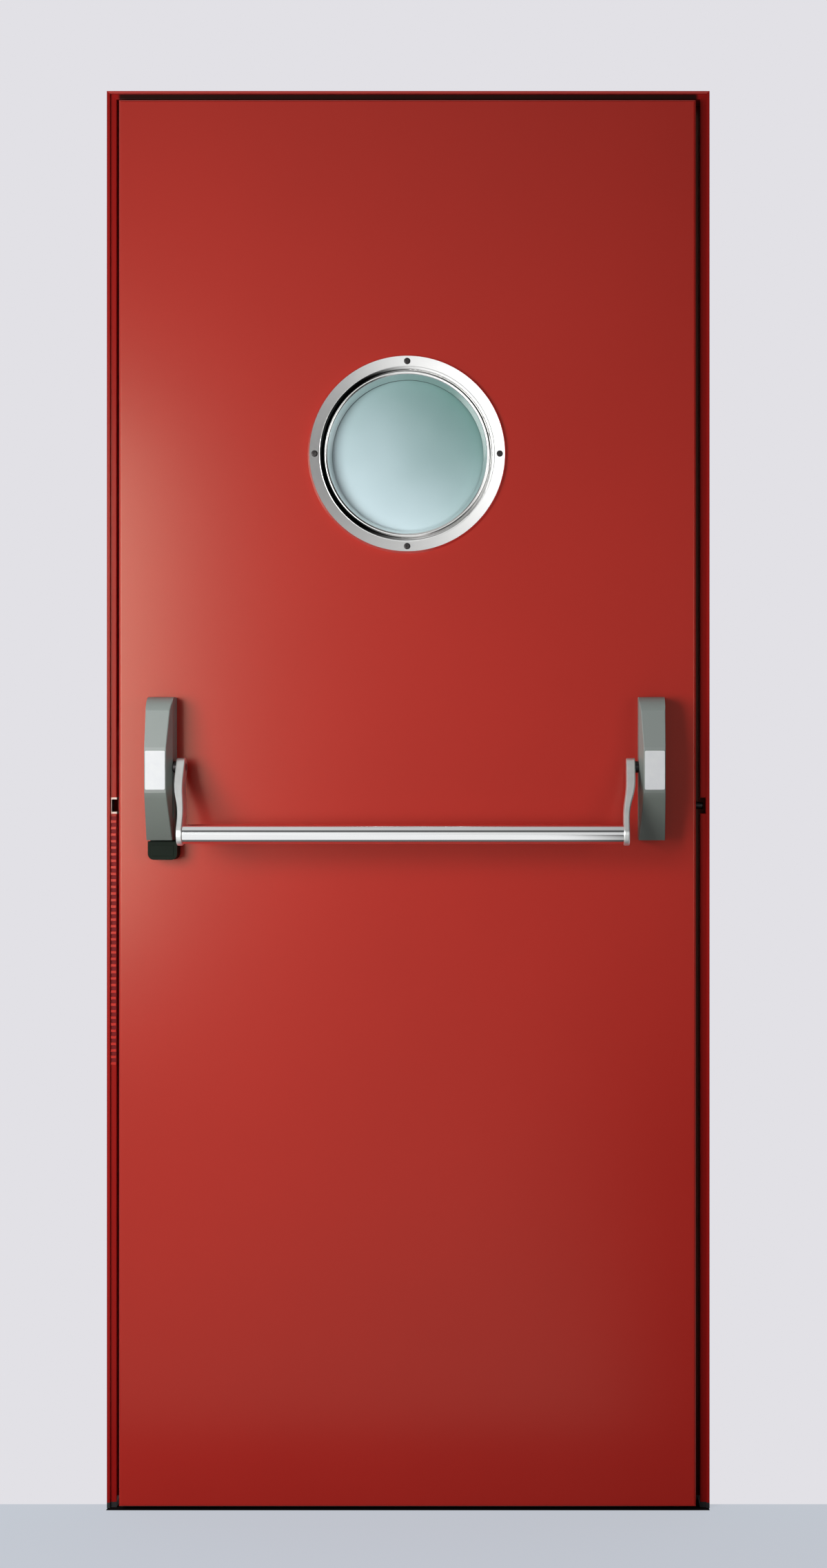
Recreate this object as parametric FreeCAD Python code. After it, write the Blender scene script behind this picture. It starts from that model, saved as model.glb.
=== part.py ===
import FreeCAD
import Part

import math
import os

# Steel escape door with a round window and a push bar, closed in its frame.
# Millimetres, +Z up, +X towards the hinges, -Y out of the push face.
# The origin lies on the hinge jamb's wall face, at floor level and in the leaf's middle plane.

# Frame: folded steel section, two jambs and a head
FRAME_WIDTH = 893.0
FRAME_HEIGHT = 2100.0
JAMB_FACE = 14.0
HEAD_FACE = 11.5
FRAME_WALL = 2.0
LIP_WIDTH = 4.5
LIP_STEP = 4.0
REVEAL_DEPTH = 34.0
BEND_RADIUS = 1.2
FOOT_HEIGHT = 8.0
FOOT_SPIGOT = 20.0
FOOT_FIT = 0.3
SEAL_WIDTH = 4.0
SEAL_INSET = 1.0
SEAL_ROUND = 1.2

# Wall fixings, a line of holes through each jamb and a pair through the head
FIXING_RADIUS = 4.5
FIXING_FIRST = 250.0
FIXING_PITCH = 530.0
FIXING_COUNT = 4
HEAD_FIXING_SPACING = 440.0

# Leaf: two folded skins round a mineral core, with an overlap on the pull side
LEAF_THICK = 64.0
LEAF_PROUD = 18.0
HINGE_GAP = 7.0
LOCK_GAP = 6.0
HEAD_GAP = 5.0
FLOOR_GAP = 6.0
SKIN = 1.2
EDGE_ROUND = 4.0
OVERLAP_THICK = 7.0
PUSH_RETURN = 24.0
STRIP_WIDTH = 18.0
STRIP_THICK = 2.5

# Clearances: a moving piece to a fixed one, a soft seal to what it meets, a pin in its bore
MOVE_CLEAR = 5.0
SEAL_CLEAR = 0.3
PIN_CLEAR = 0.05

# Hinges on the pull side
HINGE_LOW = 260.0
HINGE_DROP = 300.0
HINGE_LENGTH = 150.0
LEAF_KNUCKLE = 60.0
KNUCKLE_RADIUS = 9.0
KNUCKLE_GAP = 1.0
PIN_RADIUS = 5.0
PIN_HEAD_RADIUS = 7.5
PIN_HEAD_HEIGHT = 5.0
WING_THICK = 4.0
WING_WIDTH = 60.0
WING_HEIGHT = 110.0

# Lock edge and hinge edge furniture
KEEP_HEIGHT = 1041.0
KEEP_LENGTH = 24.0
KEEP_WIDTH = 8.5
KEEP_DEPTH = 22.0
KEEP_TAB = 2.8
FOREND_LENGTH = 235.0
FOREND_WIDTH = 22.0
FOREND_THICK = 3.0
FOREND_ROUND = 7.0
LATCH_LENGTH = 18.0
LATCH_WIDTH = 12.0
LATCH_NOSE = 2.0
LATCH_ROUND = 1.5
DOG_RADIUS = 5.0
DOG_REACH = 12.0
DOG_CHAMFER = 1.2
DOG_FLANGE_RADIUS = 9.0
DOG_FLANGE_THICK = 1.5

# Round window
WINDOW_HEIGHT = 1560.0
RING_RADIUS = 147.0
RING_INNER = 129.5
RING_RISE = 6.0
RING_BEVEL = 3.0
RING_DISH = 2.0
RING_GROOVE = 1.2
BEAD_RADIUS = 3.6
HOLE_RADIUS = 124.0
RING_FIT = 0.4
COLLAR_BORE = 117.0
GLASS_THICK = 26.0
GLASS_RADIUS = 121.0
GLAZING_SEAL = 3.0
GLAZING_SIGHT = 112.0

# Push bar gear: a covered bearing box near each edge, two arms and the bar
COVER_WIDTH = 38.0
COVER_INNER = 340.0
COVER_DROP = 107.0
COVER_HEIGHT = 209.5
COVER_WALL = 2.5
COVER_CHAMFER = 0.8
COVER_FACET = 6.5
COVER_FACET_START = 41.0
COVER_DEPTH = 62.0
COVER_FOOT_DEPTH = 42.0
COVER_SHOULDER_DEPTH = 50.0
COVER_TOP_DEPTH = 24.0
COVER_FLAT_LOW = 69.0
COVER_FLAT = 66.0
COVER_BROW = 20.5
BROW_FULLNESS = 0.65
PLATE_WIDTH = 29.0
PLATE_HEIGHT = 56.5
PLATE_THICK = 1.0
PLATE_ROUND = 2.0
SLOT_RADIUS = 8.0
SLOT_DROP = 70.0
BASE_THICK = 8.0
BASE_SHOW = 5.0
BASE_DROP = 29.0
BASE_RISE = 90.0
BASE_ROUND = 9.0
BASE_FOOT_DEPTH = 30.0
BASE_FOOT_GAP = 2.0
BASE_FIT = 0.3
BEARING_HEIGHT = 30.0
PIVOT_HEIGHT = 1098.0
PIVOT_DEPTH = 34.0
AXLE_RADIUS = 6.0
AXLE_COLLAR = 8.5
AXLE_COLLAR_CLEAR = 0.5
ARM_CLEAR = 5.6
ARM_WIDTH = 13.0
ARM_FOOT_WIDTH = 8.5
ARM_ROUND = 1.8
ARM_OFFSET = 10.0
HUB_RADIUS = 13.0
BOSS_RADIUS = 16.5
BAR_DROP = 97.0
BAR_THROW = 63.0
BAR_RADIUS = 14.0
BAR_WALL = 1.5
BAR_SOCKET = 6.0

# Levels through the thickness, from the push side to the pull side
PUSH_Y = -LEAF_THICK / 2
PULL_Y = LEAF_THICK / 2
STRIP_Y = PUSH_Y + LEAF_PROUD
LIP_Y = STRIP_Y - LIP_STEP
SEAT_Y = STRIP_Y + REVEAL_DEPTH
OVERLAP_Y = PULL_Y - OVERLAP_THICK
SEAM_Y = PUSH_Y + PUSH_RETURN
STRIP_END_Y = SEAM_Y + STRIP_WIDTH
REVEAL_Y = (STRIP_Y + SEAT_Y) / 2
KEEP_Y = STRIP_Y + KEEP_DEPTH / 2

# Leaf edges, seen from the push side
LEAF_RIGHT = -JAMB_FACE - HINGE_GAP
LEAF_LEFT = -FRAME_WIDTH + JAMB_FACE + LOCK_GAP
LEAF_TOP = FRAME_HEIGHT - HEAD_FACE - HEAD_GAP
LEAF_MIDDLE = (LEAF_LEFT + LEAF_RIGHT) / 2
OVERLAP_EDGE = FRAME_WALL + MOVE_CLEAR

# Hinge axis
AXIS_X = -KNUCKLE_RADIUS
AXIS_Y = PULL_Y + MOVE_CLEAR + KNUCKLE_RADIUS
HINGE_HIGH = FRAME_HEIGHT - HINGE_DROP
HINGES = {"lower": HINGE_LOW, "upper": HINGE_HIGH}

# Push bar axis and the bar's own place at rest
PIVOT_Y = PUSH_Y - PIVOT_DEPTH
BAR_Y = PIVOT_Y - BAR_THROW
BAR_Z = PIVOT_HEIGHT - BAR_DROP
ARM_OUTER = COVER_INNER - ARM_CLEAR
ARM_FOOT_INNER = ARM_OUTER - ARM_OFFSET - ARM_FOOT_WIDTH
COVER_BOTTOM = PIVOT_HEIGHT - COVER_DROP
COVER_TOP = COVER_BOTTOM + COVER_HEIGHT
PLATE_MIDDLE = COVER_BOTTOM + COVER_FLAT_LOW + COVER_FLAT / 2

X_AXIS = FreeCAD.Vector(1, 0, 0)
Y_AXIS = FreeCAD.Vector(0, 1, 0)
Z_AXIS = FreeCAD.Vector(0, 0, 1)


def at(x, y, z):
    return FreeCAD.Vector(x, y, z)


def block(x_range, y_range, z_range):
    """Box between two values on each axis, in either order."""
    low = [min(r) for r in (x_range, y_range, z_range)]
    high = [max(r) for r in (x_range, y_range, z_range)]
    return Part.makeBox(*[b - a for a, b in zip(low, high)], at(*low))


def prism(points, sweep):
    """Straight extrusion of a closed outline of corner points."""
    wire = Part.makePolygon([at(*p) for p in points + points[:1]])
    return Part.Face(wire).extrude(at(*sweep))


def rod(radius, start, length, axis):
    return Part.makeCylinder(radius, length, at(*start), axis)


def rounded(shape, radius, chosen):
    """The shape with a fillet along each edge that the test picks."""
    edges = [e for e in shape.Edges if chosen(e)]
    return shape.makeFillet(radius, edges)


def chamfered(shape, size, chosen):
    """The shape with a chamfer along each edge that the test picks."""
    edges = [e for e in shape.Edges if chosen(e)]
    return shape.makeChamfer(size, edges)


def runs_along(edge, axis):
    if not isinstance(edge.Curve, Part.Line):
        return False
    return abs(abs(edge.tangentAt(edge.FirstParameter).dot(axis)) - 1) < 1e-6


def middle(edge):
    return edge.CenterOfMass


def mirrored_in_leaf(shape):
    return shape.mirror(at(LEAF_MIDDLE, 0, 0), X_AXIS)


def frame_outline(face, lip):
    """Section of the frame as (distance from the wall face, y)."""
    return [
        (0, LIP_Y),
        (lip, LIP_Y),
        (lip, STRIP_Y),
        (face, STRIP_Y),
        (face, SEAT_Y),
        (FRAME_WALL, SEAT_Y),
        (FRAME_WALL, PULL_Y),
        (0, PULL_Y),
    ]


def frame_hollow(face):
    near, far = FRAME_WALL, face - FRAME_WALL
    front, back = STRIP_Y + FRAME_WALL, SEAT_Y - FRAME_WALL
    return [(near, front), (far, front), (far, back), (near, back)]


def foot_outline():
    """Section under the jamb's front and tube, which leaves its wall side standing on the floor."""
    return frame_outline(JAMB_FACE, LIP_WIDTH)[:6] + [(FRAME_WALL, STRIP_Y), (0, STRIP_Y)]


def foot_sole():
    return prism([(-d, y, 0) for d, y in foot_outline()], (0, 0, FOOT_HEIGHT))


def jamb_blank():
    """The hinge jamb's folded tube, mitred at the head and cut away over its foot."""
    sweep = (0, 0, FRAME_HEIGHT)
    outer = prism([(-d, y, 0) for d, y in frame_outline(JAMB_FACE, LIP_WIDTH)], sweep)
    bends = (STRIP_Y, SEAT_Y)
    outer = rounded(
        outer,
        BEND_RADIUS,
        lambda e: runs_along(e, Z_AXIS)
        and abs(middle(e).x + JAMB_FACE) < 1e-3
        and min(abs(middle(e).y - y) for y in bends) < 1e-3,
    )
    hollow = prism([(-d, y, 0) for d, y in frame_hollow(JAMB_FACE)], sweep)
    corner = [(0, FRAME_HEIGHT), (-JAMB_FACE, FRAME_HEIGHT - HEAD_FACE), (-JAMB_FACE, FRAME_HEIGHT)]
    mitre = prism([(x, LIP_Y, z) for x, z in corner], (0, PULL_Y - LIP_Y, 0))
    return outer.cut(hollow).cut(mitre).cut(foot_sole())


def fixing_heights():
    return [FIXING_FIRST + i * FIXING_PITCH for i in range(FIXING_COUNT)]


def hinge_jamb():
    """Jamb with its wall fixings and the keep that the dog bolt enters."""
    shape = jamb_blank()
    for z in fixing_heights():
        shape = shape.cut(rod(FIXING_RADIUS, (-JAMB_FACE, REVEAL_Y, z), JAMB_FACE, X_AXIS))
    return shape.cut(keep_notch())


def keep_notch():
    """Cut through the strip and the reveal, open to the push side."""
    x_range = (-JAMB_FACE, -JAMB_FACE + KEEP_WIDTH)
    y_range = (STRIP_Y, STRIP_Y + KEEP_DEPTH)
    z_range = (KEEP_HEIGHT - KEEP_LENGTH / 2, KEEP_HEIGHT + KEEP_LENGTH / 2)
    return block(x_range, y_range, z_range)


def opposite_jamb(shape):
    return shape.mirror(at(-FRAME_WIDTH / 2, 0, 0), X_AXIS)


def lock_jamb():
    return opposite_jamb(hinge_jamb())


def strike_liner():
    """Bent strip that lines the lock jamb's keep, with a tab above and below the latch."""
    low = KEEP_HEIGHT - KEEP_LENGTH / 2
    high = KEEP_HEIGHT + KEEP_LENGTH / 2
    back = -JAMB_FACE + KEEP_WIDTH
    y_range = (STRIP_Y, STRIP_Y + KEEP_DEPTH)
    body = block((-JAMB_FACE, back), y_range, (low, high))
    opening = block((-JAMB_FACE, back - FRAME_WALL / 2), y_range, (low + KEEP_TAB, high - KEEP_TAB))
    return opposite_jamb(body.cut(opening))


def head_member():
    """Head of the frame, mitred into both jambs so that the lips meet on the mitre."""
    lip = LIP_WIDTH * HEAD_FACE / JAMB_FACE
    sweep = (FRAME_WIDTH, 0, 0)
    outer = prism(
        [(-FRAME_WIDTH, y, FRAME_HEIGHT - d) for d, y in frame_outline(HEAD_FACE, lip)], sweep
    )
    reveal_z = FRAME_HEIGHT - HEAD_FACE
    outer = rounded(
        outer,
        BEND_RADIUS,
        lambda e: runs_along(e, X_AXIS)
        and abs(middle(e).z - reveal_z) < 1e-3
        and min(abs(middle(e).y - y) for y in (STRIP_Y, SEAT_Y)) < 1e-3,
    )
    hollow = prism([(-FRAME_WIDTH, y, FRAME_HEIGHT - d) for d, y in frame_hollow(HEAD_FACE)], sweep)
    shape = outer.cut(hollow)
    corner = [(0, FRAME_HEIGHT), (0, reveal_z), (-JAMB_FACE, reveal_z)]
    mitre = prism([(x, LIP_Y, z) for x, z in corner], (0, PULL_Y - LIP_Y, 0))
    shape = shape.cut(mitre).cut(opposite_jamb(mitre))
    for sign in (-1, 1):
        x = -FRAME_WIDTH / 2 + sign * HEAD_FIXING_SPACING / 2
        shape = shape.cut(rod(FIXING_RADIUS, (x, REVEAL_Y, reveal_z), HEAD_FACE, Z_AXIS))
    return shape


def hinge_jamb_foot():
    """Moulded shoe under the jamb, with a spigot up the tube."""
    reach = FRAME_WALL + FOOT_FIT
    spigot = block(
        (-JAMB_FACE + reach, -reach),
        (STRIP_Y + reach, SEAT_Y - reach),
        (FOOT_HEIGHT, FOOT_HEIGHT + FOOT_SPIGOT),
    )
    return foot_sole().fuse(spigot).removeSplitter()


def seal_section():
    """Distances of the smoke seal from the wall face and its levels on the seat."""
    inner = JAMB_FACE - SEAL_INSET
    return inner - SEAL_WIDTH, inner, SEAT_Y, OVERLAP_Y - SEAL_CLEAR


def hinge_jamb_seal():
    near, far, base, crown = seal_section()
    top = FRAME_HEIGHT - HEAD_FACE
    strip = block((-far, -near), (base, crown), (FLOOR_GAP, top))
    return rounded(
        strip,
        SEAL_ROUND,
        lambda e: runs_along(e, Z_AXIS) and abs(middle(e).y - crown) < 1e-3,
    )


def head_seal():
    near, far, base, crown = seal_section()
    low = FRAME_HEIGHT - HEAD_FACE + SEAL_INSET
    strip = block((-FRAME_WIDTH + near, -near), (base, crown), (low, low + SEAL_WIDTH))
    return rounded(
        strip,
        SEAL_ROUND,
        lambda e: runs_along(e, X_AXIS) and abs(middle(e).y - crown) < 1e-3,
    )


def hinge_spans(height):
    """Levels of the frame's two knuckles and of the leaf's one between them."""
    low, high = height - HINGE_LENGTH / 2, height + HINGE_LENGTH / 2
    half = LEAF_KNUCKLE / 2
    lower = low, height - half - KNUCKLE_GAP
    upper = height + half + KNUCKLE_GAP, high
    return lower, upper, (height - half, height + half)


def hinge_frame_wing(height):
    """Plate welded inside the frame's fin, with an arm to each outer knuckle."""
    lower, upper, _ = hinge_spans(height)
    x_range = (-FRAME_WALL - WING_THICK, -FRAME_WALL)
    plate_end = AXIS_Y - KNUCKLE_RADIUS - MOVE_CLEAR
    shape = block(x_range, (SEAT_Y, plate_end), (lower[0], upper[1]))
    for low, high in (lower, upper):
        arm = block(x_range, (plate_end, AXIS_Y), (low, high))
        knuckle = rod(KNUCKLE_RADIUS, (AXIS_X, AXIS_Y, low), high - low, Z_AXIS)
        shape = shape.fuse(arm).fuse(knuckle)
    bore = rod(PIN_RADIUS, (AXIS_X, AXIS_Y, lower[0]), HINGE_LENGTH, Z_AXIS)
    return shape.cut(bore).removeSplitter()


def hinge_pin(height):
    """Pin driven into the frame's knuckles, with a turned head at each end."""
    low, high = height - HINGE_LENGTH / 2, height + HINGE_LENGTH / 2
    pin = rod(PIN_RADIUS, (AXIS_X, AXIS_Y, low), HINGE_LENGTH, Z_AXIS)
    for z, taper in ((high, 1), (low, -1)):
        head = Part.makeCone(
            PIN_HEAD_RADIUS, PIN_RADIUS, PIN_HEAD_HEIGHT, at(AXIS_X, AXIS_Y, z), Z_AXIS * taper
        )
        pin = pin.fuse(head)
    return pin


def hinge_leaf_wing(height):
    """Plate on the leaf's pull face, cranked out to the middle knuckle."""
    _, _, (low, high) = hinge_spans(height)
    root = LEAF_RIGHT - WING_THICK
    plate = block(
        (root - WING_WIDTH, root),
        (PULL_Y, PULL_Y + WING_THICK),
        (height - WING_HEIGHT / 2, height + WING_HEIGHT / 2),
    )
    half = WING_THICK / 2
    crank = [
        (root - WING_THICK, PULL_Y),
        (root, PULL_Y),
        (AXIS_X - half, AXIS_Y - half),
        (AXIS_X, AXIS_Y - half),
        (AXIS_X, AXIS_Y + half),
        (AXIS_X - half, AXIS_Y + half),
        (root - WING_THICK, PULL_Y + WING_THICK),
    ]
    neck = prism([(x, y, low) for x, y in crank], (0, 0, high - low))
    knuckle = rod(KNUCKLE_RADIUS, (AXIS_X, AXIS_Y, low), high - low, Z_AXIS)
    bore = rod(PIN_RADIUS + PIN_CLEAR, (AXIS_X, AXIS_Y, low), high - low, Z_AXIS)
    return plate.fuse(neck).fuse(knuckle).cut(bore).removeSplitter()


def leaf_volume(inset):
    """Body and overlap of the leaf, shrunk by an inset on every side."""
    body = block(
        (LEAF_LEFT + inset, LEAF_RIGHT - inset),
        (PUSH_Y + inset, PULL_Y - inset),
        (FLOOR_GAP + inset, LEAF_TOP - inset),
    )
    body = rounded(body, EDGE_ROUND - inset, lambda e: abs(middle(e).y - PUSH_Y - inset) < 1e-3)
    overlap = block(
        (-FRAME_WIDTH + OVERLAP_EDGE + inset, -OVERLAP_EDGE - inset),
        (OVERLAP_Y + inset, PULL_Y - inset),
        (FLOOR_GAP + inset, FRAME_HEIGHT - OVERLAP_EDGE - inset),
    )
    shape = body.fuse(overlap)
    edge = FRAME_WALL + WING_THICK + MOVE_CLEAR + inset
    for height in HINGES.values():
        reach = HINGE_LENGTH / 2 + MOVE_CLEAR + inset
        shape = shape.cut(block((-edge, 0), (OVERLAP_Y, PULL_Y), (height - reach, height + reach)))
    return shape.removeSplitter()


def window_hole():
    return rod(HOLE_RADIUS, (LEAF_MIDDLE, PUSH_Y, WINDOW_HEIGHT), LEAF_THICK, Y_AXIS)


def forend_pocket():
    """Room for the lock's forend in the leaf's free edge."""
    half = FOREND_LENGTH / 2
    return block(
        (LEAF_LEFT, LEAF_LEFT + FOREND_THICK),
        (KEEP_Y - FOREND_WIDTH / 2, KEEP_Y + FOREND_WIDTH / 2),
        (KEEP_HEIGHT - half, KEEP_HEIGHT + half),
    )


def edge_strip():
    """Intumescent strip let into the two upright edges and the top edge, between the skins."""
    y_range = (SEAM_Y, STRIP_END_Y)
    outer = block((LEAF_LEFT, LEAF_RIGHT), y_range, (FLOOR_GAP + SKIN, LEAF_TOP))
    inner = block(
        (LEAF_LEFT + STRIP_THICK, LEAF_RIGHT - STRIP_THICK), y_range, (FLOOR_GAP, LEAF_TOP - STRIP_THICK)
    )
    return outer.cut(inner).cut(forend_pocket())


def leaf_core():
    """Mineral board that fills both skins."""
    strip_room = edge_strip()
    return leaf_volume(SKIN).cut(strip_room).cut(forend_pocket()).cut(window_hole())


def leaf_shell():
    return leaf_volume(0).cut(leaf_volume(SKIN)).cut(forend_pocket()).cut(window_hole())


def push_skin():
    """Front tray: push face with its folded edges back to the seam."""
    half_space = block((-FRAME_WIDTH, 0), (PUSH_Y, SEAM_Y), (0, FRAME_HEIGHT))
    return leaf_shell().common(half_space)


def pull_skin():
    """Back tray: pull face, the folded overlap and the floor edge up to the seam."""
    back = block((-FRAME_WIDTH, 0), (STRIP_END_Y, PULL_Y), (0, FRAME_HEIGHT))
    floor = block((-FRAME_WIDTH, 0), (SEAM_Y, STRIP_END_Y), (0, FLOOR_GAP + SKIN))
    shell = leaf_shell()
    return shell.common(back).fuse(shell.common(floor)).removeSplitter()


def turned_in_window(profile):
    """Solid of revolution about the window's axis, from a closed outline of edges in (radius, height)."""
    face = Part.Face(Part.Wire(profile))
    return face.revolve(at(LEAF_MIDDLE, 0, WINDOW_HEIGHT), Y_AXIS, 360)


def ring_point(radius, height):
    """Point of a ring's section, with height measured out of the push face."""
    return at(LEAF_MIDDLE + radius, PUSH_Y - height, WINDOW_HEIGHT)


def line(start, end):
    return Part.LineSegment(ring_point(*start), ring_point(*end)).toShape()


def arc(start, through, end):
    return Part.Arc(ring_point(*start), ring_point(*through), ring_point(*end)).toShape()


def collar_depth():
    return (LEAF_THICK - GLASS_THICK) / 2 - GLAZING_SEAL


def window_ring():
    """Turned ring: bevelled, dished flange, a groove, a rolled bead and a collar to the seal."""
    bead_middle = COLLAR_BORE + BEAD_RADIUS
    bead_end = bead_middle + BEAD_RADIUS
    step = RING_INNER - bead_end
    inner_rise = RING_RISE - RING_DISH
    fall = inner_rise - RING_GROOVE
    nose = bead_end + step * (1 - math.sqrt(0.5)), RING_GROOVE + fall * math.sqrt(0.5)
    bead_top = RING_GROOVE + BEAD_RADIUS
    collar = HOLE_RADIUS - RING_FIT
    end = -collar_depth()
    outline = [
        line((RING_RADIUS, 0), (RING_RADIUS - RING_BEVEL, RING_RISE)),
        line((RING_RADIUS - RING_BEVEL, RING_RISE), (RING_INNER, inner_rise)),
        arc((RING_INNER, inner_rise), nose, (bead_end, RING_GROOVE)),
        arc((bead_end, RING_GROOVE), (bead_middle, bead_top), (COLLAR_BORE, RING_GROOVE)),
        line((COLLAR_BORE, RING_GROOVE), (GLAZING_SIGHT, end)),
        line((GLAZING_SIGHT, end), (collar, end)),
        line((collar, end), (collar, 0)),
        line((collar, 0), (RING_RADIUS, 0)),
    ]
    return turned_in_window(outline)


def glazing_seal():
    """Soft ring between a collar and the glass."""
    front = PUSH_Y + collar_depth()
    outer = rod(GLASS_RADIUS, (LEAF_MIDDLE, front, WINDOW_HEIGHT), GLAZING_SEAL, Y_AXIS)
    sight = rod(GLAZING_SIGHT, (LEAF_MIDDLE, front, WINDOW_HEIGHT), GLAZING_SEAL, Y_AXIS)
    return outer.cut(sight)


def glass_pane():
    return rod(GLASS_RADIUS, (LEAF_MIDDLE, -GLASS_THICK / 2, WINDOW_HEIGHT), GLASS_THICK, Y_AXIS)


def on_pull_side(shape):
    return shape.mirror(at(0, 0, 0), Y_AXIS)


def latch_section(x_range):
    y_range = (KEEP_Y - LATCH_WIDTH / 2, KEEP_Y + LATCH_WIDTH / 2)
    return block(x_range, y_range, (KEEP_HEIGHT - LATCH_LENGTH / 2, KEEP_HEIGHT + LATCH_LENGTH / 2))


def lock_forend():
    """Plate of the mortice lock, let into the free edge, with a window for the latch."""
    plate = forend_pocket()
    ends = KEEP_HEIGHT - FOREND_LENGTH / 2, KEEP_HEIGHT + FOREND_LENGTH / 2
    plate = rounded(
        plate,
        FOREND_ROUND,
        lambda e: runs_along(e, X_AXIS) and min(abs(middle(e).z - z) for z in ends) < 1e-3,
    )
    return plate.cut(latch_section((LEAF_LEFT, LEAF_LEFT + FOREND_THICK)))


def latch_bolt():
    """Latch drawn back until only its nose stands out of the forend."""
    bolt = latch_section((LEAF_LEFT - LATCH_NOSE, LEAF_LEFT + FOREND_THICK))
    tip = LEAF_LEFT - LATCH_NOSE
    return rounded(
        bolt,
        LATCH_ROUND,
        lambda e: runs_along(e, Z_AXIS) and abs(middle(e).x - tip) < 1e-3,
    )


def dog_bolt():
    """Fixed stud on the hinge edge that enters the hinge jamb's keep."""
    flange = rod(DOG_FLANGE_RADIUS, (LEAF_RIGHT, KEEP_Y, KEEP_HEIGHT), DOG_FLANGE_THICK, X_AXIS)
    stud = rod(DOG_RADIUS, (LEAF_RIGHT, KEEP_Y, KEEP_HEIGHT), DOG_REACH, X_AXIS)
    shape = flange.fuse(stud)
    tip = LEAF_RIGHT + DOG_REACH
    return chamfered(shape, DOG_CHAMFER, lambda e: abs(middle(e).x - tip) < 1e-3)


def cover_side(inset):
    """Side outline of a cover: deep where its plate sits, with a rounded brow and a shallower foot."""

    def corner(depth, height):
        return at(0, PUSH_Y - depth, COVER_BOTTOM + height)

    top = COVER_HEIGHT - inset
    brow = COVER_HEIGHT - COVER_BROW
    flat_high = COVER_FLAT_LOW + COVER_FLAT
    shoulder = COVER_SHOULDER_DEPTH - inset
    crest = COVER_TOP_DEPTH - inset
    bulge = crest + (shoulder - crest) * BROW_FULLNESS, brow + (top - brow) * BROW_FULLNESS
    points = [
        corner(0, inset),
        corner(COVER_FOOT_DEPTH - inset, inset),
        corner(COVER_DEPTH - inset, COVER_FLAT_LOW),
        corner(COVER_DEPTH - inset, flat_high),
        corner(shoulder, brow),
        corner(crest, top),
        corner(0, top),
    ]
    edges = [Part.makeLine(a, b) for a, b in zip(points[:4], points[1:5])]
    edges.append(Part.Arc(points[4], corner(*bulge), points[5]).toShape())
    edges.append(Part.makeLine(points[5], points[6]))
    edges.append(Part.makeLine(points[6], points[0]))
    return Part.Face(Part.Wire(edges))


def cover_body(inset):
    """Solid form of a cover, whose inner side leans back from the arm towards the front."""
    near = LEAF_MIDDLE + COVER_INNER + inset
    face = cover_side(inset)
    face.translate(at(near, 0, 0))
    body = face.extrude(at(COVER_WIDTH - 2 * inset, 0, 0))
    start, front = PUSH_Y - COVER_FACET_START, PUSH_Y - COVER_DEPTH
    lean = [(near, start), (near + COVER_FACET, front), (near, front)]
    return body.cut(prism([(x, y, COVER_BOTTOM) for x, y in lean], (0, 0, COVER_HEIGHT)))


def arm_slot():
    """Slot in a cover's inner wall: round at the axle and running down below it."""
    x = LEAF_MIDDLE + COVER_INNER
    length = COVER_FACET + COVER_WALL
    low = PIVOT_HEIGHT - SLOT_DROP
    ends = [rod(SLOT_RADIUS, (x, PIVOT_Y, z), length, X_AXIS) for z in (low, PIVOT_HEIGHT)]
    run = block((x, x + length), (PIVOT_Y - SLOT_RADIUS, PIVOT_Y + SLOT_RADIUS), (low, PIVOT_HEIGHT))
    return run.fuse(ends)


def on_cover_front(edge):
    """True for an edge between a side wall of a cover and its front, off the back and the ends."""
    place = middle(edge)
    off_ends = COVER_BOTTOM + 1e-3 < place.z < COVER_TOP - 1e-3
    return off_ends and place.y < PUSH_Y - COVER_FACET_START - 1e-3 and not runs_along(edge, X_AXIS)


def hinge_side_cover():
    """Cast cover, open at its back and slotted for the axle."""
    outer = chamfered(cover_body(0), COVER_CHAMFER, on_cover_front)
    return outer.cut(cover_body(COVER_WALL)).cut(arm_slot())


def lock_side_cover():
    """The other cover, cut back where it sits on the wider base."""
    return mirrored_in_leaf(hinge_side_cover()).cut(base_foot())


def cover_plate():
    """Bare plate on the flat of a cover."""
    front = PUSH_Y - COVER_DEPTH
    middle_x = LEAF_MIDDLE + COVER_INNER + (COVER_FACET + COVER_WIDTH) / 2
    plate = block(
        (middle_x - PLATE_WIDTH / 2, middle_x + PLATE_WIDTH / 2),
        (front - PLATE_THICK, front),
        (PLATE_MIDDLE - PLATE_HEIGHT / 2, PLATE_MIDDLE + PLATE_HEIGHT / 2),
    )
    return rounded(plate, PLATE_ROUND, lambda e: runs_along(e, Y_AXIS))


def hinge_side_base():
    """Base plate inside a cover, with the bearing block that carries the axle."""
    reach = COVER_WALL + BASE_FIT
    near = LEAF_MIDDLE + COVER_INNER + reach
    far = LEAF_MIDDLE + COVER_INNER + COVER_WIDTH - reach
    plate = block((near, far), (PUSH_Y, PUSH_Y - BASE_THICK), (COVER_BOTTOM + reach, COVER_TOP - reach))
    half = BEARING_HEIGHT / 2
    bearing = block(
        (near + COVER_FACET, far),
        (PUSH_Y - BASE_THICK, PIVOT_Y - AXLE_RADIUS - COVER_WALL),
        (PIVOT_HEIGHT - half, PIVOT_HEIGHT + half),
    )
    bore = rod(AXLE_RADIUS + PIN_CLEAR, (near, PIVOT_Y, PIVOT_HEIGHT), far - near, X_AXIS)
    return plate.fuse(bearing).cut(bore).removeSplitter()


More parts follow.
